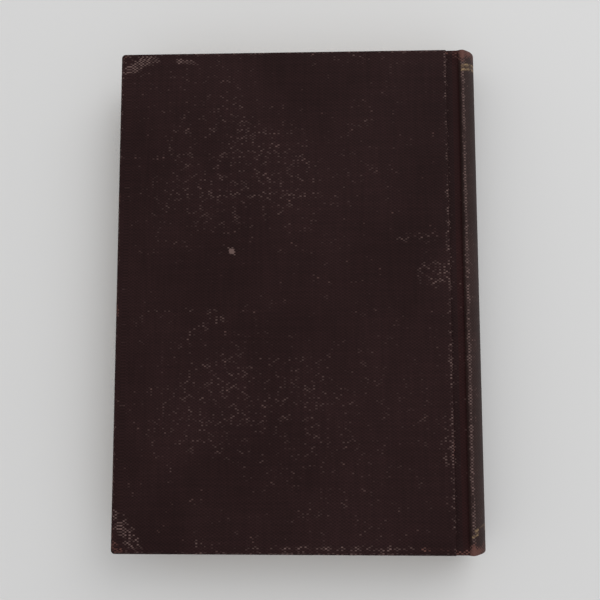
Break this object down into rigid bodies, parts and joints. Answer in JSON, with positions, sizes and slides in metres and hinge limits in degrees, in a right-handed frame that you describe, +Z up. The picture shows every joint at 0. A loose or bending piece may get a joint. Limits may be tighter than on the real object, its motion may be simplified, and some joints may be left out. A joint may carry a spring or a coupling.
{
  "type": "hardback book",
  "caption": "Worn cloth hardback with rounded spine, grooved joints and hollow fore-edge, lying flat; its covers open.",
  "frame": {"origin": "bottom centre of the whole closed book, on the face it lies on", "axes": "+X towards the spine, +Y towards the head, +Z up from the front cover to the back cover"},
  "size_m": [0.1434, 0.197, 0.024],
  "materials": {
    "cover_cloth": "coarse book cloth, worn",
    "leaves": "aged uncoated paper",
    "endpaper": "aged endpaper",
    "lining_paper": "brown lining paper",
    "card": "grey-brown card",
    "binders_board": "millboard",
    "gauze": "open gauze in glue"
  },
  "bodies": {
    "book_block": {"text_block": "leaves", "spine_mull": "gauze", "spine_lining": "lining_paper", "spine_inlay": "card", "spine_cloth": "cover_cloth", "back_flyleaf": "endpaper", "front_flyleaf": "endpaper"},
    "back_hinge": {"back_hinge_cloth": "cover_cloth", "back_hinge_mull": "gauze", "back_hinge_paper": "endpaper"},
    "back_cover": {"back_board": "binders_board", "back_cover_cloth": "cover_cloth", "back_mull_flap": "gauze", "back_pastedown": "endpaper"},
    "front_hinge": {"front_hinge_cloth": "cover_cloth", "front_hinge_mull": "gauze", "front_hinge_paper": "endpaper"},
    "front_cover": {"front_board": "binders_board", "front_cover_cloth": "cover_cloth", "front_mull_flap": "gauze", "front_pastedown": "endpaper"}
  },
  "joints": [
    {"name": "back_hinge_fold", "type": "hinge", "parent": "book_block", "child": "back_hinge", "pos_m": [0.06368, 0, 0.022], "axis": [0, 1, 0], "range_deg": [0, 90]},
    {"name": "back_cover_swing", "type": "hinge", "parent": "back_hinge", "child": "back_cover", "pos_m": [0.05938, 0, 0.022], "axis": [0, 1, 0], "range_deg": [0, 90]},
    {"name": "front_hinge_fold", "type": "hinge", "parent": "book_block", "child": "front_hinge", "pos_m": [0.06368, 0, 0.002], "axis": [0, -1, 0], "range_deg": [0, 90]},
    {"name": "front_cover_swing", "type": "hinge", "parent": "front_hinge", "child": "front_cover", "pos_m": [0.05938, 0, 0.002], "axis": [0, -1, 0], "range_deg": [0, 90]}
  ]
}
